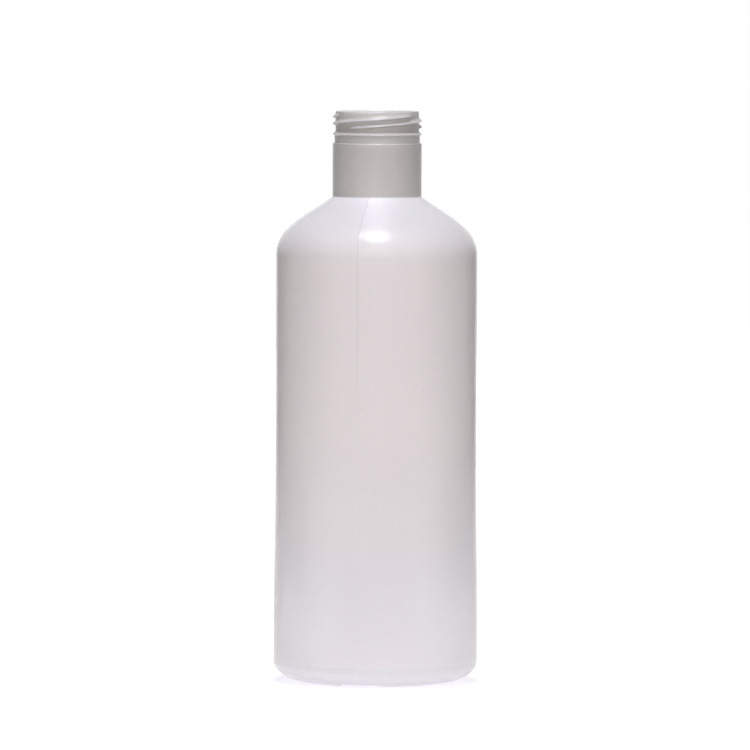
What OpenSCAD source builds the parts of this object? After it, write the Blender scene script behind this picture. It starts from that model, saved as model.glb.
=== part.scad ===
// Round one-litre bottle, blown in one piece from natural polyethylene,
// with an open neck that has a three-start screw finish. Millimetres.
// +Z runs up the bottle, and the origin is the middle of its footprint.
// The side that faces the viewer is -Y.

/* [Body] */
// Overall height, from the standing ring to the rim
height = 238; // [220:1:320]
// Outer diameter of the straight upper part of the body
body_d = 83.7; // [76:0.1:96]
// How much further out the foot of the body stands than its upper part
foot_flare = 0.6; // [0:0.02:1.4]
// Height at which the flare begins, coming down the body
flare_top = 80; // [60:1:120]
// Height at which the flare has reached its full width
flare_end = 22; // [14:1:40]
// Wall of the body and the shoulder
body_wall = 0.95; // [0.6:0.05:1.6]

/* [Shoulder] */
// Radius of the round edge where the shoulder turns into the body
edge_r = 15; // [10:0.1:18]
// How far round that edge turns before the flatter crown begins, in degrees
edge_turn = 45; // [35:0.1:50]
// Radius of the crown between the round edge and the cone
crown_r = 48; // [36:1:60]
// Steepness of the cone's surface normal above the horizontal, in degrees
cone_tilt = 56.3; // [52:0.1:62]
// Radius of the inside corner where the cone meets the neck
neck_fillet = 0.8; // [0.3:0.1:2]

/* [Base] */
// Width of the round heel, from the side of the foot to the standing ring
heel_w = 14.4; // [10:0.1:17]
// Height of the round heel
heel_h = 8.9; // [6:0.05:12]
// Flat width of the standing ring
ring_w = 1.8; // [1:0.1:3]
// How far the middle of the base is pushed up
push_up = 4.5; // [3:0.1:8]
// Wall of the base
base_wall = 1.4; // [1:0.1:2]
// Height of the two notches where the parting line crosses the ring
notch_h = 1; // [0.4:0.1:1.2]
// Width of a notch at its roof
notch_w = 14.6; // [10:0.2:18]
// How much further out each side of a notch is at the bottom
notch_splay = 2.3; // [1:0.1:4]
// Width of the weld bar that the mould pinches across the base
weld_w = 1.4; // [0.8:0.1:2.4]
// How far the weld bar stands below the base
weld_h = 0.5; // [0.2:0.1:0.8]
// Where the parting line runs, in degrees from the front towards the left
parting_turn = 10.8; // [-45:0.1:45]

/* [Neck] */
// Outer diameter of the plain collar
collar_d = 37.1; // [36.2:0.1:40]
// Length of the plain collar
collar_len = 22.5; // [12:0.1:30]
// Wall of the plain collar
collar_wall = 1.5; // [1.1:0.1:2]
// Height of the screw finish, from the top of the collar to the rim
finish_h = 13.3; // [12.6:0.1:18]
// Diameter at the roots of the thread, which is also the rim's
root_d = 34.8; // [34:0.1:35.2]
// Diameter of the plain band under the bead
band_d = 35.6; // [35.2:0.1:36]
// Bore of the mouth
mouth_d = 31.4; // [26:0.1:32]
// Length of the straight bore, from the rim down
mouth_len = 14.5; // [12:0.1:18]
// Radius of the rim's and the collar's outer edges
edge_round = 0.35; // [0.15:0.05:0.5]
// Chamfer inside the rim
mouth_chamfer = 0.3; // [0.1:0.05:0.6]

/* [Bead] */
// Diameter of the bead that a closure's band snaps over
bead_d = 37.4; // [36.6:0.1:38.4]
// Depth of the bead's crest below the rim
bead_depth = 9.6; // [9.2:0.1:10.4]
// Height of the slope above the crest
bead_slope = 1.1; // [0.6:0.05:1.4]
// Height of the undercut below the crest
bead_undercut = 0.7; // [0.3:0.05:0.9]

/* [Thread] */
// Diameter over the thread's crests
thread_d = 37.4; // [36.6:0.1:38.4]
// Number of thread starts
thread_starts = 3; // [2:1:4]
// Rise of one thread in a full turn
thread_lead = 8.4; // [6:0.1:9]
// Angle that each thread covers, in degrees
thread_span = 230; // [150:2:240]
// Angle over which each thread sinks into the wall at either end, in degrees
thread_fade = 22; // [12:1:40]
// Depth of a thread's lower end below the rim
thread_depth = 7.15; // [6.2:0.05:7.3]
// Where the first thread begins, in degrees round from +X
thread_turn = 102; // [0:1:360]
// Height of the slope above a thread's crest, at the root
thread_slope = 1.3; // [0.8:0.05:1.6]
// Height of the slope below a thread's crest, at the root
thread_under = 0.7; // [0.5:0.05:1]

/* [Hidden] */
$fn = 96;

natural = [0.87, 0.85, 0.86];

body_r = body_d / 2;
foot_r = body_r + foot_flare;
ring_out = foot_r - heel_w;
ring_in = ring_out - ring_w;
collar_r = collar_d / 2;
root_r = root_d / 2;
band_r = band_d / 2;
bead_r = bead_d / 2;
mouth_r = mouth_d / 2;

// Steps in a quarter circle, in the flare and in a turn of thread
round_steps = 18;
small_steps = 4;
flare_steps = 10;
thread_step = 4;
// Room by which a cutting solid passes the surface that it cuts
past = 1;

// Levels up the bottle. The shoulder's height follows from its curves.
crown_turn_rise = edge_r * sin(edge_turn) + crown_r * (sin(cone_tilt) - sin(edge_turn));
crown_turn_in = edge_r * (1 - cos(edge_turn)) + crown_r * (cos(edge_turn) - cos(cone_tilt));
cone_in = body_r - crown_turn_in - collar_r;
shoulder_h = crown_turn_rise + cone_in / tan(cone_tilt);
ledge_z = height - finish_h;
neck_z = ledge_z - collar_len;
shoulder_z = neck_z - shoulder_h;

// Centres of the shoulder's two curves
edge_centre = [body_r - edge_r, shoulder_z];
crown_centre = edge_centre + (edge_r - crown_r) * [cos(edge_turn), sin(edge_turn)];

// Points along an arc of an ellipse, in degrees from the outward direction
function arc(centre, rx, ry, from, to, steps) =
    [for (i = [0:steps]) let (a = from + (to - from) * i / steps)
        centre + [rx * cos(a), ry * sin(a)]];

// Underside of the base, lifted by up, from the axis out to the standing ring
dome_r = (ring_in * ring_in + push_up * push_up) / (2 * push_up);
function dome(up) =
    [for (i = [0:round_steps]) let (r = ring_in * i / round_steps)
        [r, push_up + up - dome_r + sqrt(dome_r * dome_r - r * r)]];

// The body's side, a wall w inside the outer face, from the heel up
function side(w) =
    [for (i = [0:flare_steps]) let (t = i / flare_steps, s = t * t * (3 - 2 * t))
        [foot_r - foot_flare * s - w, flare_end + (flare_top - flare_end) * t]];

// Heel, side and shoulder, a wall w inside the outer face and up above the base
function flank(w, up) = concat(
    arc([ring_out, heel_h], heel_w - w, heel_h - up, -90, 0, round_steps),
    side(w),
    arc(edge_centre, edge_r - w, edge_r - w, 0, edge_turn, round_steps),
    arc(crown_centre, crown_r - w, crown_r - w, edge_turn, cone_tilt, small_steps));

// Height at which the cone, a wall w inside its outer face, has the radius r
function cone_z(r, w) =
    neck_z - (r - collar_r) / tan(cone_tilt) - w / sin(cone_tilt);

// Outer section, from the middle of the base up to the rim and its axis
fillet_z = neck_z + neck_fillet * tan(cone_tilt / 2);
bead_z = height - bead_depth;
outer_section = concat(
    dome(0),
    flank(0, 0),
    arc([collar_r + neck_fillet, fillet_z], neck_fillet, neck_fillet,
        180 + cone_tilt, 180, small_steps),
    arc([collar_r - edge_round, ledge_z - edge_round], edge_round, edge_round,
        0, 90, small_steps),
    [[band_r, ledge_z],
     [band_r, bead_z - bead_undercut],
     [bead_r, bead_z],
     [root_r, bead_z + bead_slope]],
    arc([root_r - edge_round, height - edge_round], edge_round, edge_round,
        0, 90, small_steps),
    [[0, height]]);

// Section of the hollow inside, open past the rim
inner_collar_r = collar_r - collar_wall;
bore_foot_z = height - mouth_len;
hollow_section = concat(
    dome(base_wall),
    flank(body_wall, base_wall),
    [[inner_collar_r, cone_z(inner_collar_r, body_wall)],
     [inner_collar_r, bore_foot_z - (inner_collar_r - mouth_r)],
     [mouth_r, bore_foot_z],
     [mouth_r, height - mouth_chamfer],
     [mouth_r + mouth_chamfer + past, height + past],
     [0, height + past]]);

// Channel along the parting line, with its roof raised by up
module channel(up) {
    half = notch_w / 2;
    foot = half + notch_splay * (notch_h + up + past) / notch_h;
    roof = notch_h + up;
    rotate([90, 0, -parting_turn])
        linear_extrude(height = 2 * foot_r, center = true)
            polygon([[-half, roof], [half, roof], [foot, -past], [-foot, -past]]);
}

// Hollow that steps over the channel, so that the wall keeps its thickness
module hollow() {
    difference() {
        rotate_extrude() polygon(hollow_section);
        channel(base_wall);
    }
}

// Bar of weld under the push-up, along the parting line
module weld_bar() {
    under = [for (p = dome(-weld_h)) if (p[1] > notch_h) p];
    over = [for (p = dome(base_wall / 2)) if (p[0] <= under[len(under) - 1][0]) p];
    intersection() {
        rotate_extrude()
            polygon(concat(under, [for (i = [len(over) - 1:-1:0]) over[i]]));
        rotate([0, 0, -parting_turn])
            translate([-weld_w / 2, -foot_r, -past])
                cube([weld_w, 2 * foot_r, push_up + base_wall + past]);
    }
}

// One thread: a section with a sloping top and a steeper underside, swept up a
// helix. Its flanks run on into the wall, and its crest sinks there at the ends.
thread_sunk = 0.5;
thread_crest = 0.12;
crest_r = thread_d / 2;
end_r = root_r - 0.15;
function rise_in(a) = let (t = min(1, a / thread_fade)) t * t * (3 - 2 * t);
function fade(a) = rise_in(min(a, thread_span - a));
function reach(at_root) =
    thread_crest + (at_root - thread_crest) * (crest_r - root_r + thread_sunk)
    / (crest_r - root_r);
function section(crest) = [
    [root_r - thread_sunk, reach(thread_slope)],
    [crest, thread_crest],
    [crest, -thread_crest],
    [root_r - thread_sunk, -reach(thread_under)]];

module thread() {
    rings = ceil(thread_span / thread_step);
    points = [for (i = [0:rings]) let (a = thread_span * i / rings)
        for (p = section(end_r + (crest_r - end_r) * fade(a)))
            [p[0] * cos(a), p[0] * sin(a), p[1] + thread_lead * a / 360]];
    sides = [for (i = [0:rings - 1]) for (j = [0:3]) let (k = (j + 1) % 4)
        [4 * i + j, 4 * i + k, 4 * i + 4 + k, 4 * i + 4 + j]];
    last = 4 * rings;
    polyhedron(points, concat(sides, [[3, 2, 1, 0]],
        [[last, last + 1, last + 2, last + 3]]), convexity = 4);
}

module threads() {
    for (i = [0:thread_starts - 1])
        rotate([0, 0, thread_turn + 360 * i / thread_starts])
            translate([0, 0, height - thread_depth])
                thread();
}

module bottle() {
    color(natural)
        union() {
            difference() {
                union() {
                    rotate_extrude() polygon(outer_section);
                    weld_bar();
                }
                channel(0);
                hollow();
            }
            threads();
        }
}

bottle();
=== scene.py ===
import math

import bpy
import numpy as np
from mathutils import Matrix, Vector


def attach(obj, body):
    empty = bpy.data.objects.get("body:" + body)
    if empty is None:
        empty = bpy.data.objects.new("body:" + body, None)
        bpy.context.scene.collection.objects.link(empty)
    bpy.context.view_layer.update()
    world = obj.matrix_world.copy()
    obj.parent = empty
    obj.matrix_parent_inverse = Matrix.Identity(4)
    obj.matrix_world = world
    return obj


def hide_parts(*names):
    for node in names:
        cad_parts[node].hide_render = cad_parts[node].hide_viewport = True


# Round one-litre bottle, blown in one piece from natural polyethylene. The mesh is
# made here from the bottle's own sizes, in millimetres, and scaled to metres.
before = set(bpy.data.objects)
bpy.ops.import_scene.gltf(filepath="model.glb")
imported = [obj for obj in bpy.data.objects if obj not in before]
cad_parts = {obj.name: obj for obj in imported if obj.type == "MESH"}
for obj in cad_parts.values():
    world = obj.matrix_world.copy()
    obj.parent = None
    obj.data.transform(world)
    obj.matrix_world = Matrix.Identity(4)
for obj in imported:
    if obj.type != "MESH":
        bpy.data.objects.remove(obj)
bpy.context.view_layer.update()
MM = 0.001

# Body
HEIGHT = 238.0
BODY_R = 41.85
FOOT_FLARE = 0.6
FLARE_TOP = 80.0
FLARE_END = 22.0
BODY_WALL = 0.95
EDGE_R = 15.0
EDGE_TURN = 45.0
CROWN_R = 48.0
CONE_TILT = 56.3
NECK_FILLET = 0.8

# Base
HEEL_W = 14.4
HEEL_H = 8.9
RING_W = 1.8
PUSH_UP = 4.5
BASE_WALL = 1.4
NOTCH_H = 1.0
NOTCH_W = 14.6
NOTCH_SPLAY = 2.3
NOTCH_ROUND = 0.25
NOTCH_START = 0.5
WELD_W = 1.4
WELD_H = 0.5
WELD_FADE = 0.8
WELD_FLAT = 1.6
WELD_FALL = 1.2
PARTING_TURN = 10.8

# Neck and its screw finish
COLLAR_R = 18.55
COLLAR_LEN = 22.5
COLLAR_WALL = 1.5
FINISH_H = 13.3
ROOT_R = 17.4
BAND_R = 17.8
MOUTH_R = 15.7
MOUTH_LEN = 14.5
RIM_FLAT = 0.9
BEAD_R = 18.7
BEAD_DEPTH = 9.6
BEAD_SLOPE = 1.1
BEAD_UNDERCUT = 0.7
THREAD_R = 18.7
THREAD_STARTS = 3
THREAD_LEAD = 8.4
THREAD_SPAN = 230.0
THREAD_FADE = 22.0
THREAD_DEPTH = 7.15
THREAD_TURN = 102.0
THREAD_SLOPE = 1.3
THREAD_UNDER = 0.7
THREAD_SUNK = 0.5
THREAD_CREST = 0.12
THREAD_END_SUNK = 0.15

# Radii of the finish's soft edges and corners, and of the bore's
EDGE_ROUND = 0.35
LEDGE_ROUND = 0.5
BAND_FOOT_ROUND = 0.2
UNDERCUT_ROUND = 0.25
BEAD_ROUND = 0.3
SLOPE_ROUND = 0.4
RIDGE_ROUND = 0.07
GROOVE_ROUND = 0.22
MOUTH_ROUND = 0.3
BORE_ROUND = 0.8
INNER_NECK_ROUND = 1.2
# Share of its radius by which the bead's sharp point stands past the rounded crest
BEAD_POINT = 0.29

# Parting line on the side: its half width, its height, and where it fades out
LINE_WIDTH = 0.22
LINE_RISE = 0.07
LINE_FOOT = 1.5
LINE_FOOT_FADE = 3
LINE_TOP_FADE = 2

# Steps of the mesh along the section
DOME_STEPS = 20
RING_STEPS = 3
HEEL_STEPS = 20
FOOT_STEPS = 3
FLARE_STEPS = 8
SIDE_STEPS = 4
EDGE_STEPS = 14
CROWN_STEPS = 6
CONE_STEPS = 12
CORNER_STEPS = 6
COLLAR_FOOT = 0.5
COLLAR_FOOT_STEPS = 2
COLLAR_STEPS = 8
FINISH_STEPS = 5
THREAD_STEP = 0.13
BORE_STEPS = 4
INNER_DOME_STEPS = 10

# Derived places
FOOT_R = BODY_R + FOOT_FLARE
RING_OUT = FOOT_R - HEEL_W
RING_IN = RING_OUT - RING_W
LEDGE_Z = HEIGHT - FINISH_H
NECK_Z = LEDGE_Z - COLLAR_LEN
BEAD_Z = HEIGHT - BEAD_DEPTH
BEAD_TOP_Z = BEAD_Z + BEAD_SLOPE
DOME_R = (RING_IN ** 2 + PUSH_UP ** 2) / (2 * PUSH_UP)


def sin(degrees):
    return math.sin(math.radians(degrees))


def cos(degrees):
    return math.cos(math.radians(degrees))


def tan(degrees):
    return math.tan(math.radians(degrees))


SHOULDER_RISE = EDGE_R * sin(EDGE_TURN) + CROWN_R * (sin(CONE_TILT) - sin(EDGE_TURN))
SHOULDER_IN = EDGE_R * (1 - cos(EDGE_TURN)) + CROWN_R * (cos(EDGE_TURN) - cos(CONE_TILT))
SHOULDER_Z = NECK_Z - SHOULDER_RISE - (BODY_R - SHOULDER_IN - COLLAR_R) / tan(CONE_TILT)
EDGE_CENTRE = (BODY_R - EDGE_R, SHOULDER_Z)
CROWN_CENTRE = (EDGE_CENTRE[0] + (EDGE_R - CROWN_R) * cos(EDGE_TURN),
                EDGE_CENTRE[1] + (EDGE_R - CROWN_R) * sin(EDGE_TURN))


def arc(centre, rx, ry, start, end, steps):
    """Points along an arc of an ellipse, in degrees from the outward direction."""
    return [(centre[0] + rx * cos(a), centre[1] + ry * sin(a))
            for a in np.linspace(start, end, steps + 1)]


def smoothstep(t):
    t = np.clip(t, 0.0, 1.0)
    return t * t * (3 - 2 * t)


def soft_max(a, b, k):
    """The larger of a and b, with the corner between them rounded over k."""
    h = np.clip(0.5 + 0.5 * (a - b) / k, 0.0, 1.0)
    return b + (a - b) * h + k * h * (1 - h)


def soft_min(a, b, k):
    return -soft_max(-a, -b, k)


# Largest share of a line that the round at one of its ends takes up
FILLET_SHARE = 0.48


def fillet(points, steps):
    """Rounds the corners of a line of (r, z, radius)."""
    out = []
    for i, (r, z, radius) in enumerate(points):
        here = np.array([r, z])
        if radius <= 0 or i in (0, len(points) - 1):
            out.append((r, z))
            continue
        back = np.array(points[i - 1][:2]) - here
        on = np.array(points[i + 1][:2]) - here
        back_len, on_len = np.linalg.norm(back), np.linalg.norm(on)
        back, on = back / back_len, on / on_len
        half = math.acos(float(np.clip(back @ on, -1, 1))) / 2
        reach = min(radius / math.tan(half), FILLET_SHARE * back_len, FILLET_SHARE * on_len)
        first, last = here + back * reach, here + on * reach
        for t in np.linspace(0, 1, steps + 1):
            p = (1 - t) ** 2 * first + 2 * t * (1 - t) * here + t * t * last
            out.append((float(p[0]), float(p[1])))
    return out


def between(low, high, steps):
    """Points on the straight line between two points, ends left out."""
    a, b = np.array(low), np.array(high)
    return [tuple(a + (b - a) * i / steps) for i in range(1, steps)]


def dome(up, steps):
    """Push-up of the base, lifted by up, from beside the axis to the standing ring."""
    rs = RING_IN * np.linspace(0, 1, steps + 1)[1:]
    return [(r, PUSH_UP + up - DOME_R + math.sqrt(DOME_R ** 2 - r * r)) for r in rs]


def side(wall, steps):
    """The flare of the side, a wall inside the outer face, from the foot up."""
    rows = []
    for t in np.linspace(0, 1, steps + 1):
        s = float(smoothstep(t))
        rows.append((FOOT_R - FOOT_FLARE * s - wall, FLARE_END + (FLARE_TOP - FLARE_END) * t))
    return rows


def cone_z(r, wall):
    """Height at which the cone, a wall inside its outer face, has the radius r."""
    return NECK_Z - (r - COLLAR_R) / tan(CONE_TILT) - wall / sin(CONE_TILT)


def flank(wall, up, detail):
    """Heel, side and shoulder, a wall inside the outer face and up above the base."""
    heel = arc((RING_OUT, HEEL_H), HEEL_W - wall, HEEL_H - up, -90, 0, HEEL_STEPS * detail)
    foot = between(heel[-1], (FOOT_R - wall, FLARE_END), FOOT_STEPS * detail)
    flare = side(wall, FLARE_STEPS * detail)
    edge = arc(EDGE_CENTRE, EDGE_R - wall, EDGE_R - wall, 0, EDGE_TURN, EDGE_STEPS * detail)
    body = between(flare[-1], edge[0], SIDE_STEPS * detail)
    crown = arc(CROWN_CENTRE, CROWN_R - wall, CROWN_R - wall, EDGE_TURN, CONE_TILT,
                CROWN_STEPS * detail)[1:]
    return heel + foot + flare + body + edge + crown


# Outer section from beside the axis, up the outside to the rim
outer = dome(0, DOME_STEPS) + between((RING_IN, 0), (RING_OUT, 0), RING_STEPS)
outer += flank(0, 0, 2)
fillet_z = NECK_Z + NECK_FILLET * tan(CONE_TILT / 2)
neck_corner = arc((COLLAR_R + NECK_FILLET, fillet_z), NECK_FILLET, NECK_FILLET,
                  180 + CONE_TILT, 180, CORNER_STEPS)
outer += between(outer[-1], neck_corner[0], CONE_STEPS) + neck_corner
finish = fillet([
    (COLLAR_R, fillet_z + COLLAR_FOOT, 0),
    (COLLAR_R, LEDGE_Z, LEDGE_ROUND),
    (BAND_R, LEDGE_Z, BAND_FOOT_ROUND),
    (BAND_R, BEAD_Z - BEAD_UNDERCUT, UNDERCUT_ROUND),
    (BEAD_R + BEAD_ROUND * BEAD_POINT, BEAD_Z, BEAD_ROUND),
    (ROOT_R, BEAD_TOP_Z, SLOPE_ROUND),
    (ROOT_R, HEIGHT, 0)], FINISH_STEPS)
collar = [p for p in finish if p[1] < BEAD_TOP_Z + SLOPE_ROUND]
outer += between(neck_corner[-1], collar[0], COLLAR_FOOT_STEPS) + collar[:1]
outer += between(collar[0], collar[1], COLLAR_STEPS) + collar[1:-1]
low_z = outer[-1][1]
high_z = HEIGHT - EDGE_ROUND
thread_rows = int((high_z - low_z) / THREAD_STEP)
outer += [(ROOT_R, z) for z in np.linspace(low_z, high_z, thread_rows + 1)[1:-1]]
outer += arc((ROOT_R - EDGE_ROUND, high_z), EDGE_ROUND, EDGE_ROUND, 0, 90, CORNER_STEPS)

# Inner section, from the rim down the bore to beside the axis
inner_collar_r = COLLAR_R - COLLAR_WALL
bore_foot_z = HEIGHT - MOUTH_LEN
crown_inside = flank(BODY_WALL, BASE_WALL, 1)
bore = fillet([
    (MOUTH_R + RIM_FLAT, HEIGHT, 0),
    (MOUTH_R, HEIGHT, MOUTH_ROUND),
    (MOUTH_R, bore_foot_z, BORE_ROUND),
    (inner_collar_r, bore_foot_z - (inner_collar_r - MOUTH_R), BORE_ROUND),
    (inner_collar_r, cone_z(inner_collar_r, BODY_WALL), INNER_NECK_ROUND),
    crown_inside[-1] + (0,)], BORE_STEPS)
inner = bore[1:-1] + crown_inside[::-1] + dome(BASE_WALL, INNER_DOME_STEPS)[::-1][1:]

# Columns in degrees: even steps, with finer ones beside the parting line
COLUMN = 1.4
BESIDE_LINE = (0.0, 0.2, 0.45, 0.8, 1.4, 2.1, 2.8)
ANGLE_DIGITS = 4


def column(angle):
    return round(float(angle) % 360, ANGLE_DIGITS)


front_seam = (-90 - PARTING_TURN) % 360
back_seam = (90 - PARTING_TURN) % 360
turns = {column(seam + sign * d)
         for seam in (front_seam, back_seam) for d in BESIDE_LINE for sign in (-1, 1)}
for seam, next_seam in ((back_seam, front_seam), (front_seam, back_seam + 360)):
    start, end = seam + BESIDE_LINE[-1], next_seam - BESIDE_LINE[-1]
    count = round((end - start) / COLUMN)
    turns.update(column(t) for t in np.linspace(start, end, count + 1)[1:-1])
theta = np.radians(np.array(sorted(turns)))


def across(x, y):
    """Distance from the plane of the parting line."""
    return np.abs(x * cos(PARTING_TURN) - y * sin(PARTING_TURN))


def over_notch(r, z, up, top):
    """Heights, below top, with the notches of the standing ring lifted into them."""
    u = across(r * np.cos(theta), r * np.sin(theta))
    roof = NOTCH_H + up - np.maximum(u - NOTCH_W / 2, 0) * NOTCH_H / NOTCH_SPLAY
    near_ring = (z < top) & (r > RING_IN * NOTCH_START)
    return np.where(near_ring, soft_max(z, roof, NOTCH_ROUND), z)


def ridge_radius(angle, z):
    """Largest radius of the three thread ridges, at an angle in degrees and a height."""
    ridge = THREAD_R - ROOT_R

    def reach(root):
        return THREAD_CREST + (root - THREAD_CREST) * (ridge + THREAD_SUNK) / ridge

    low = ROOT_R - THREAD_SUNK
    best = np.full(np.broadcast(angle, z).shape, low)
    for i in range(THREAD_STARTS):
        for lap in (0, 360):
            a = (angle - THREAD_TURN - 360.0 / THREAD_STARTS * i) % 360 + lap
            end = np.minimum(a, THREAD_SPAN - a)
            crest = (ROOT_R - THREAD_END_SUNK
                     + (ridge + THREAD_END_SUNK) * smoothstep(end / THREAD_FADE))
            off = z - (HEIGHT - THREAD_DEPTH) - THREAD_LEAD * a / 360
            up = (reach(THREAD_SLOPE) - off) / (reach(THREAD_SLOPE) - THREAD_CREST)
            down = (reach(THREAD_UNDER) + off) / (reach(THREAD_UNDER) - THREAD_CREST)
            share = soft_min(soft_min(up, down, RIDGE_ROUND), np.ones_like(up), RIDGE_ROUND)
            r = low + (crest - low) * np.clip(share, 0, 1)
            best = np.maximum(best, np.where(end > 0, r, low))
    return best


def grid(rows):
    """Radius and height of each row of the section, in every column."""
    section = np.array(rows)
    return section[:, :1] * np.ones_like(theta), section[:, 1:] * np.ones_like(theta)


def points(r, z):
    return np.stack([r * np.cos(theta), r * np.sin(theta), z], axis=-1)


# Slack by which a row counts as one of the threaded wall
WALL_SLACK = 0.02
# Below these heights the notches lift the outside and the inside of the base
NOTCH_TOP = 4
NOTCH_TOP_INSIDE = 6


def outer_points(rows):
    r, z = grid(rows)
    u = across(r * np.cos(theta), r * np.sin(theta))
    # Ridges of the screw thread, with a small round at their roots
    in_thread = (z > BEAD_TOP_Z) & (r > ROOT_R - WALL_SLACK)
    ridge = ridge_radius(np.degrees(theta)[None, :], z)
    r = np.where(in_thread, soft_max(ridge, r, GROOVE_ROUND), r)
    # Parting line up the side
    line = np.exp(-(u / LINE_WIDTH) ** 2) * smoothstep((z - LINE_FOOT) / LINE_FOOT_FADE)
    r = r + LINE_RISE * (line * smoothstep((NECK_Z - z) / LINE_TOP_FADE))
    # Weld bar under the push-up, flat in the middle, that falls off at its sides
    under = (r < RING_IN) & (z < PUSH_UP + 1)
    weld = smoothstep((z - NOTCH_H - WELD_H) / WELD_FADE)
    section = smoothstep(WELD_FLAT - WELD_FALL * u / (WELD_W / 2))
    z = np.where(under, z - WELD_H * weld * section, z)
    # Notches where the parting line crosses the standing ring
    return points(r, over_notch(r, z, 0, NOTCH_TOP))


def inner_points(rows):
    r, z = grid(rows)
    return points(r, over_notch(r, z, BASE_WALL, NOTCH_TOP_INSIDE))


def lathe(name, rings, bottom, top):
    """Closed mesh of rings that starts and ends at a point on the axis."""
    count, width = rings.shape[0], rings.shape[1]
    verts = np.vstack([rings.reshape(-1, 3), [bottom], [top]]) * MM
    faces = []
    ahead = [(k + 1) % width for k in range(width)]
    for i in range(count - 1):
        a, b = i * width, (i + 1) * width
        faces.extend((a + k, a + ahead[k], b + ahead[k], b + k) for k in range(width))
    first, last = count * width, count * width + 1
    faces.extend((ahead[k], k, first) for k in range(width))
    end = (count - 1) * width
    faces.extend((end + k, end + ahead[k], last) for k in range(width))
    mesh = bpy.data.meshes.new(name)
    mesh.from_pydata([tuple(v) for v in verts], [], faces)
    mesh.validate()
    mesh.polygons.foreach_set("use_smooth", [True] * len(mesh.polygons))
    piece = bpy.data.objects.new(name, mesh)
    bpy.context.scene.collection.objects.link(piece)
    return piece


rings = np.vstack([outer_points(outer), inner_points(inner)])
bottle = lathe("blown_bottle", rings, (0, 0, PUSH_UP - WELD_H), (0, 0, PUSH_UP + BASE_WALL))
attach(bottle, "root")
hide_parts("bottle")


# Sockets of a node that mixes colours
MIX_FIRST = 6
MIX_SECOND = 7
MIX_RESULT = 2


def put(tree, socket, value):
    """Links a socket to another one, or sets its value."""
    if isinstance(value, bpy.types.NodeSocket):
        tree.links.new(value, socket)
    else:
        socket.default_value = value


def add(tree, kind, values=(), **settings):
    """Adds a node, with its settings, and links or sets its inputs by name or number."""
    made = tree.nodes.new(kind)
    for name, value in settings.items():
        setattr(made, name, value)
    for key, value in dict(values).items():
        put(tree, made.inputs[key], value)
    return made


def ramp(tree, value, span, start, end):
    """Smooth step from start to end while a value crosses a span."""
    low, high = span
    return add(tree, "ShaderNodeMapRange", {
        "Value": value, "From Min": low, "From Max": high, "To Min": start, "To Max": end},
        interpolation_type="SMOOTHSTEP").outputs["Result"]


def mix(tree, fac, colour, other):
    """Mixes from one colour to another by fac."""
    made = add(tree, "ShaderNodeMix", {"Factor": fac}, data_type="RGBA")
    put(tree, made.inputs[MIX_FIRST], colour)
    put(tree, made.inputs[MIX_SECOND], other)
    return made.outputs[MIX_RESULT]


# Natural polyethylene
material = bpy.data.materials.new("natural_polyethylene")
material.use_nodes = True
resin = material.node_tree
shader = resin.nodes["Principled BSDF"]
place = add(resin, "ShaderNodeTexCoord").outputs["Object"]
split = add(resin, "ShaderNodeSeparateXYZ", {0: place}).outputs
height = split["Z"]


def math_node(operation, a, b=0.0, c=0.0):
    return add(resin, "ShaderNodeMath", {0: a, 1: b, 2: c}, operation=operation).outputs[0]


def over(length, span, start=0, end=1):
    """Smooth step while a length crosses a span that is given in millimetres."""
    low, high = span
    return ramp(resin, length, (low * MM, high * MM), start, end)


def tint(length, span, low_tone, high_tone):
    """Goes from one tone to another while a length crosses a span in millimetres."""
    return mix(resin, over(length, span), low_tone, high_tone)


NOISE_ROUGHNESS = 0.5
FACING_BLEND = 0.5


def noise(scale, detail):
    return add(resin, "ShaderNodeTexNoise", {
        "Vector": place, "Scale": scale, "Detail": detail,
        "Roughness": NOISE_ROUGHNESS}).outputs["Fac"]


def mottle(scale, detail, spread):
    """Factor round 1 that varies by spread over the surface."""
    return math_node("MULTIPLY_ADD", noise(scale, detail), spread, 1 - spread / 2)


def scaled(shade, part, gain):
    """Shade that is changed by gain where part is 1."""
    return math_node("MULTIPLY", shade, math_node("MULTIPLY_ADD", part, gain, 1.0))


# Tone by height, with painted light and shade in it: the thick neck is greyer, partly its own
# tone and partly painted shade; the shoulder is cooler by painted light from above; the heel
# is cooler and the standing ring lighter by painted light from the table; the lower side is a
# little darker and cooler
BODY_TONE = (0.726, 0.666, 0.678, 1)
# Painted cool light from above on the shoulder
SHOULDER_TOPLIGHT_TONE = (0.676, 0.656, 0.716, 1)
FOOT_TONE = (0.690, 0.651, 0.682, 1)
# Painted light from the table: the heel cooler, the standing ring lighter and cooler
HEEL_FLOORLIGHT_TONE = (0.668, 0.642, 0.686, 1)
STANDING_FLOORLIGHT_TONE = (0.735, 0.712, 0.765, 1)
# The collar greyer for its thick wall, partly its own tone and partly painted shade, and
# darker towards its top by painted shade where less light comes up through the shoulder
COLLAR_TONE = (0.490, 0.461, 0.451, 1)
COLLAR_TOP_SHADE_TONE = (0.444, 0.415, 0.406, 1)
# Painted shade in the dark band under the bead
BAND_SHADE_TONE = (0.372, 0.338, 0.316, 1)
# Painted light on the finish: its upper roots, the bead, the ridge tops and the rim lighter
FINISH_TONE_AND_LIGHT = (0.475, 0.450, 0.435, 1)
BEAD_LIGHT_TONE = (0.570, 0.550, 0.565, 1)
RIDGE_TOPLIGHT_TONE = (0.515, 0.500, 0.517, 1)
RIM_TOPLIGHT_TONE = (0.545, 0.530, 0.555, 1)
# Painted light: the inside of the mouth glows pale, as if lit through the wall
MOUTH_GLOW_TONE = (0.930, 0.910, 0.960, 1)

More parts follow.
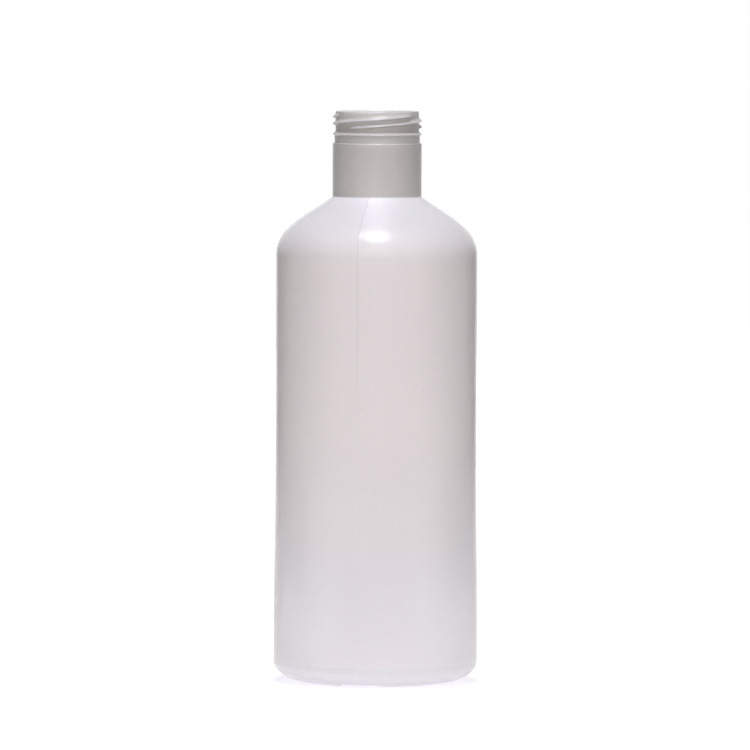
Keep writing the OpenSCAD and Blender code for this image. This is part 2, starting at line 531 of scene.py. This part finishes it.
# Heights, and on the finish radii too, between which one tone gives way to the next
FOOT_SPAN = (30.0, 110.0)
STANDING_SPAN = (0.5, 4.5)
HEEL_SPAN = (HEEL_H - 0.6, HEEL_H + 0.4)
SHOULDER_EDGE_SPAN = (SHOULDER_Z - 0.3, SHOULDER_Z + 0.3)
SHOULDER_SPAN = (SHOULDER_Z, SHOULDER_Z + 17)
NECK_SPAN = (NECK_Z - 0.2, NECK_Z + 0.9)
COLLAR_SPAN = (NECK_Z + 1, LEDGE_Z)
LEDGE_SPAN = (LEDGE_Z - 0.5, LEDGE_Z + 0.1)
BAND_SPAN = (BEAD_Z, HEIGHT - 2)
BEAD_SPAN = (BEAD_Z + 0.8, BEAD_Z + 2)
RIM_SPAN = (HEIGHT - 1.2, HEIGHT - 0.3)
RIDGE_RADII = (ROOT_R + 0.05, ROOT_R + 0.9)
RIM_RADII = (MOUTH_R + 0.3, ROOT_R - 0.5)
# Share of the shoulder's painted top light that starts at once, at the edge of the body
SHOULDER_STEP = 0.2

tone = tint(height, FOOT_SPAN, FOOT_TONE, BODY_TONE)
# Painted light from the table on the heel and the standing ring
heel_floor_light = tint(height, STANDING_SPAN, STANDING_FLOORLIGHT_TONE, HEEL_FLOORLIGHT_TONE)
tone = tint(height, HEEL_SPAN, heel_floor_light, tone)
# Painted light from above on the shoulder, part of it at once at the body's edge
step = over(height, SHOULDER_EDGE_SPAN, 0, SHOULDER_STEP)
rest = over(height, SHOULDER_SPAN, 0, 1 - SHOULDER_STEP)
tone = mix(resin, math_node("ADD", step, rest), tone, SHOULDER_TOPLIGHT_TONE)
# Painted shade darkening the collar towards its top
neck_tone_and_shade = tint(height, COLLAR_SPAN, COLLAR_TONE, COLLAR_TOP_SHADE_TONE)
tone = tint(height, NECK_SPAN, tone, neck_tone_and_shade)
flat = add(resin, "ShaderNodeCombineXYZ", {0: split["X"], 1: split["Y"]}).outputs[0]
from_axis = add(resin, "ShaderNodeVectorMath", {0: flat}, operation="LENGTH").outputs["Value"]
# Painted shade under the bead, with painted light higher up the finish
finish_light_and_shade = tint(height, BAND_SPAN, BAND_SHADE_TONE, FINISH_TONE_AND_LIGHT)
# Painted light on the bead and the ridge tops
ridge_light = tint(height, BEAD_SPAN, BEAD_LIGHT_TONE, RIDGE_TOPLIGHT_TONE)
finish_light_and_shade = tint(from_axis, RIDGE_RADII, finish_light_and_shade, ridge_light)
# Painted glow inside the mouth beside painted light on the rim
rim_and_mouth_light = tint(from_axis, RIM_RADII, MOUTH_GLOW_TONE, RIM_TOPLIGHT_TONE)
finish_light_and_shade = tint(height, RIM_SPAN, finish_light_and_shade, rim_and_mouth_light)
tone = tint(height, LEDGE_SPAN, tone, finish_light_and_shade)

# Cloudiness and fine grain of the resin: scale, detail and spread of the noise
CLOUD = (28.0, 3.0, 0.05)
GRAIN = (420.0, 2.0, 0.03)
shade = math_node("MULTIPLY", mottle(*CLOUD), mottle(*GRAIN))

# Parting line: a little paler than the wall low down, and darker up the side, most of
# all on the shoulder
PALE_LINE = 0.012
SIDE_LINE = -0.075
SHOULDER_LINE = -0.12
LINE_EDGE = (0.12, 0.42)
DARK_FROM = (105.0, 150.0)
DARK_TO = (NECK_Z, NECK_Z + 1.5)
DARKER_SPAN = (SHOULDER_Z - 4, SHOULDER_Z + 10)
off_plane = math_node("ABSOLUTE", math_node(
    "MULTIPLY_ADD", split["X"], cos(PARTING_TURN),
    math_node("MULTIPLY", split["Y"], -sin(PARTING_TURN))))
dark = math_node("MULTIPLY", over(height, DARK_FROM), over(height, DARK_TO, 1, 0))
strength = over(height, DARKER_SPAN, SIDE_LINE, SHOULDER_LINE)
depth = math_node("MULTIPLY_ADD", dark, strength, PALE_LINE)
shade = scaled(shade, over(off_plane, LINE_EDGE, 1, 0), depth)

# Witness lines of the mould, by height and gain: round the shoulder and above the heel
WITNESS_LINES = ((SHOULDER_Z, -0.012), (HEEL_H + 0.2, 0.03))
WITNESS_EDGE = (0.11, 0.352)
for level, gain in WITNESS_LINES:
    off = math_node("ABSOLUTE", math_node("SUBTRACT", height, level * MM))
    shade = scaled(shade, over(off, WITNESS_EDGE, 1, 0), gain)

# A few dark specks in the resin, and a painted highlight on the crumple where the parting
# line meets the neck, each by its place across the front and its height in millimetres
SPECKS = ((19.6, 123.9), (37.1, 154.6), (-8.1, 129.3), (-10.8, 115.5), (-5.6, 116.2),
          (12.5, 28.8), (-37.7, 182.9), (-32.3, 189.1), (-27.1, 113.6), (24.6, 132.4))
CRUMPLE_GLINT = ((-3.4, 201.5), (-3.0, 200.9), (-1.3, 201.6))
SPECK_GAIN = -0.17
CRUMPLE_GLINT_GAIN = 0.10
SPECK_EDGE = (0.1, 0.42)
CRUMPLE_GLINT_EDGE = (0.1, 0.6)
FRONT_SPAN = (-4.0, 0.0)
upright = add(resin, "ShaderNodeCombineXYZ", {0: split["X"], 2: height}).outputs[0]
in_front = over(split["Y"], FRONT_SPAN, 1, 0)
for spots, edge, gain in ((SPECKS, SPECK_EDGE, SPECK_GAIN),
                          (CRUMPLE_GLINT, CRUMPLE_GLINT_EDGE, CRUMPLE_GLINT_GAIN)):
    nearest = 1.0
    for aside, level in spots:
        gap = add(resin, "ShaderNodeVectorMath", {0: upright, 1: (aside * MM, 0, level * MM)},
                  operation="DISTANCE").outputs["Value"]
        nearest = math_node("MINIMUM", nearest, gap)
    shade = scaled(shade, in_front, over(nearest, edge, gain, 0))

colour = add(resin, "ShaderNodeVectorMath", {0: tone, "Scale": shade}, operation="SCALE")
resin.links.new(colour.outputs[0], shader.inputs["Base Color"])

# Waxy gloss, a little uneven: strongest in front and on the finish, weaker where the
# wall turns away, least on the upper side, and back again at the very edge
ROUGH_NOISE = (60.0, 3.0)
ROUGHNESS = 0.222
ROUGHNESS_SPREAD = 0.04
FRONT_GLOSS = 0.5
FINISH_GLOSS = 0.9
FOOT_GLOSS = 0.26
SHOULDER_GLOSS = 0.30
NECK_LOSS = -0.18
GRAZING_GLOSS = 0.35
FINISH_GLOSS_SPAN = (LEDGE_Z - 0.9, LEDGE_Z - 0.5)
FOOT_GLOSS_SPAN = (5.0, 100.0)
SHOULDER_GLOSS_SPAN = (SHOULDER_Z, SHOULDER_Z + 10)
NECK_LOSS_SPAN = (NECK_Z - 2, NECK_Z + 1)
TURNING = (0.25, 0.62)
GRAZING = (0.78, 0.95)
rough = math_node("MULTIPLY_ADD", noise(*ROUGH_NOISE), ROUGHNESS_SPREAD, ROUGHNESS)
resin.links.new(rough, shader.inputs["Roughness"])
turned = add(resin, "ShaderNodeLayerWeight", {"Blend": FACING_BLEND}).outputs["Facing"]
neck_gloss = math_node("ADD", over(height, SHOULDER_GLOSS_SPAN, 0, SHOULDER_GLOSS),
                       over(height, NECK_LOSS_SPAN, 0, NECK_LOSS))
edge_gloss = math_node("ADD", over(height, FOOT_GLOSS_SPAN, FOOT_GLOSS, 0), neck_gloss)
front_gloss = over(height, FINISH_GLOSS_SPAN, FRONT_GLOSS, FINISH_GLOSS)
gloss = math_node("ADD", ramp(resin, turned, TURNING, front_gloss, edge_gloss),
                  ramp(resin, turned, GRAZING, 0, GRAZING_GLOSS))
resin.links.new(gloss, shader.inputs["Specular IOR Level"])

# Orange peel, and the slight waviness of a blown wall, which the moulded finish lacks
PEEL_NOISE = (700.0, 3.0)
PEEL_STRENGTH = 0.10
PEEL_DEPTH = 0.0001
WAVE_NOISE = (45.0, 1.0)
WAVE_STRENGTH = 0.25
FINISH_WAVE_STRENGTH = 0.03
WAVE_DEPTH = 0.0004
WAVE_END_SPAN = (LEDGE_Z - 2, LEDGE_Z)
peel = add(resin, "ShaderNodeBump", {
    "Height": noise(*PEEL_NOISE), "Strength": PEEL_STRENGTH, "Distance": PEEL_DEPTH})
calm = over(height, WAVE_END_SPAN, WAVE_STRENGTH, FINISH_WAVE_STRENGTH)
wave = add(resin, "ShaderNodeBump", {
    "Height": noise(*WAVE_NOISE), "Strength": calm, "Distance": WAVE_DEPTH,
    "Normal": peel.outputs[0]})
resin.links.new(wave.outputs[0], shader.inputs["Normal"])
bottle.data.materials.append(material)


# Floor and surroundings, which are seen white
WHITE = (1, 1, 1, 1)


def camera_mix(tree, seen, other, output):
    """Camera, glossy and transmission rays get one shader, and the rest another."""
    path = add(tree, "ShaderNodeLightPath").outputs
    first = add(tree, "ShaderNodeMath", {0: path["Is Camera Ray"], 1: path["Is Glossy Ray"]},
                operation="MAXIMUM").outputs[0]
    both = add(tree, "ShaderNodeMath", {0: first, 1: path["Is Transmission Ray"]},
               operation="MAXIMUM").outputs[0]
    chosen = add(tree, "ShaderNodeMixShader",
                 {0: both, 1: other.outputs[0], 2: seen.outputs[0]})
    tree.links.new(chosen.outputs[0], output.inputs["Surface"])


# The surroundings give no light of their own: the lamps and the table light the bottle
AMBIENT = 0.0
world = bpy.data.worlds.new("studio")
bpy.context.scene.world = world
world.use_nodes = True
sky = world.node_tree
sky.nodes.clear()
sky_seen = add(sky, "ShaderNodeBackground", {"Color": WHITE})
ambient = add(sky, "ShaderNodeBackground", {"Color": WHITE, "Strength": AMBIENT})
camera_mix(sky, sky_seen, ambient, add(sky, "ShaderNodeOutputWorld"))

# The table round the bottle gives light back, with a glow that fades further out. It is
# seen a little less than white, with a faint painted shadow where the heel nears it. Radii in
# metres.
FLOOR_R = 40
FLOOR_SIDES = 96
FLOOR_Z = -0.0001
POOL_GLOW = 0.41
POOL_SPAN = (0.06, 0.16)
TABLE_WHITE = 0.88
TABLE_SPAN = (0.3, 1.6)
CONTACT_SHADOW_COLOUR = (0.83, 0.80, 0.88, 1)
CONTACT_SHADOW_SPAN = (0.041, 0.050)
TABLE_COLOUR = (0.8, 0.8, 0.8, 1)
SHADOW_COLOUR = (0.4, 0.4, 0.4, 1)
bpy.ops.mesh.primitive_circle_add(vertices=FLOOR_SIDES, radius=FLOOR_R, fill_type="NGON",
                                  location=(0, 0, FLOOR_Z))
floor = bpy.context.object
floor.name = "floor"
paper = bpy.data.materials.new("floor")
paper.use_nodes = True
table = paper.node_tree
table.nodes.clear()
out_by = add(table, "ShaderNodeVectorMath",
             {0: add(table, "ShaderNodeTexCoord").outputs["Object"]},
             operation="LENGTH").outputs["Value"]
pool = ramp(table, out_by, POOL_SPAN, POOL_GLOW, 0)
matt = add(table, "ShaderNodeBsdfDiffuse", {"Color": TABLE_COLOUR})
glow = add(table, "ShaderNodeEmission", {"Color": WHITE, "Strength": pool})
bounce = add(table, "ShaderNodeAddShader", {0: matt.outputs[0], 1: glow.outputs[0]})
painted_contact_shadow = mix(table, ramp(table, out_by, CONTACT_SHADOW_SPAN, 0, 1), CONTACT_SHADOW_COLOUR, WHITE)
white = add(table, "ShaderNodeEmission", {
    "Color": painted_contact_shadow, "Strength": ramp(table, out_by, TABLE_SPAN, TABLE_WHITE, 1)})
faint = add(table, "ShaderNodeBsdfDiffuse", {"Color": SHADOW_COLOUR})
lit = add(table, "ShaderNodeAddShader", {0: white.outputs[0], 1: faint.outputs[0]})
camera_mix(table, lit, bounce, add(table, "ShaderNodeOutputMaterial"))
floor.data.materials.append(paper)

# Lamps, in metres and watts
NEUTRAL = (1, 1, 1)
COOL = (0.95, 0.97, 1.0)


def light(name, kind, place, aim, watts, colour=NEUTRAL):
    data = bpy.data.lights.new(name, kind)
    data.energy = watts
    data.color = colour
    made = bpy.data.objects.new(name, data)
    bpy.context.scene.collection.objects.link(made)
    made.location = place
    made.rotation_euler = (Vector(aim) - Vector(place)).to_track_quat("-Z", "Y").to_euler()
    made.visible_camera = False
    return made


def lamp(name, place, aim, size, watts):
    """Soft lamp with a rectangle for its face."""
    made = light(name, "AREA", place, aim, watts)
    made.data.shape = "RECTANGLE"
    made.data.size, made.data.size_y = size
    return made


def spot(name, place, aim, cone, scale, watts, colour=NEUTRAL):
    """Narrow beam with a soft border, whose cone is in degrees."""
    made = light(name, "SPOT", place, aim, watts, colour)
    made.data.spot_size = math.radians(cone)
    made.data.spot_blend = 1.0
    made.data.shadow_soft_size = 0.0
    made.scale = scale


lamp("front", place=(0, -2.8, 1.1), aim=(0, 0, 0.12), size=(2.4, 1.8), watts=21.8)
lamp("front_high", place=(0, -1.7, 1.7), aim=(0, 0, 0.12), size=(1.2, 1.2), watts=3.4)
lamp("overhead", place=(0, -0.33, 1.15), aim=(0, -0.04, 0.19), size=(0.26, 0.54), watts=6.9)
lamp("overhead_wide", place=(0, -0.8, 1.35), aim=(0, 0, 0.2), size=(1.6, 0.5), watts=2.5)
for hand in (-1, 1):
    lamp("side", place=(hand * 1.6, -1.6, 0.6), aim=(0, 0, 0.12), size=(0.8, 1.0), watts=3.6)
    lamp("side_high", place=(hand * 1.2, -0.7, 1.2), aim=(0, 0, 0.15), size=(0.6, 0.6),
         watts=0.8)
    lamp("table_side", place=(hand * 0.16, -0.02, 0.02), aim=(0, 0, 0.02),
         size=(0.30, 0.03), watts=0.024)
    lamp("table_high", place=(hand * 0.30, -0.20, 0.06), aim=(0, 0, 0.06),
         size=(0.30, 0.12), watts=0.066)

# A soft lamp behind, for views from there
back = lamp("back", place=(0, 2.6, 0.45), aim=(0, 0, 0.10), size=(2.0, 0.7), watts=12.0)
back.visible_glossy = False

# A narrow beam from above brightens the front of the neck and of the cone under it
spot("beam", place=(0, -0.33, 1.15), aim=(0.0002, -0.0245, 0.204), cone=1.1,
     scale=(1.0, 2.0, 1.0), watts=6.8, colour=COOL)

# Light that a milky wall lets through fills the grooves of the finish
spot("fill", place=(0, -0.35, 0.02), aim=(-0.0015, -0.018, 0.2335), cone=2.3,
     scale=(1.7, 1.0, 1.0), watts=0.27)

# Camera: far away and a little higher than the bottle, looking slightly down at it
FOCAL_PX = 9400.1
FRAME_PX = 750
SHIFT_PX = -1.29
SENSOR = 36.0
CAMERA_PLACE = (0, -3.914, 0.340)
CAMERA_AIM = (0, 0, 0.1279)
CAMERA_ROLL = 0.225
NEAREST = 0.1
FURTHEST = 200
camera_data = bpy.data.cameras.new("camera")
camera_data.sensor_width = SENSOR
camera_data.lens = FOCAL_PX / FRAME_PX * SENSOR
camera_data.shift_x = SHIFT_PX / FRAME_PX
camera_data.clip_start = NEAREST
camera_data.clip_end = FURTHEST
camera = bpy.data.objects.new("camera", camera_data)
bpy.context.scene.collection.objects.link(camera)
camera.location = CAMERA_PLACE
gaze = (Vector(CAMERA_AIM) - camera.location).to_track_quat("-Z", "Y")
roll = Matrix.Rotation(math.radians(CAMERA_ROLL), 3, "Z").to_quaternion()
camera.rotation_mode = "QUATERNION"
camera.rotation_quaternion = gaze @ roll
bpy.context.scene.camera = camera
bpy.context.scene.view_settings.view_transform = "Standard"
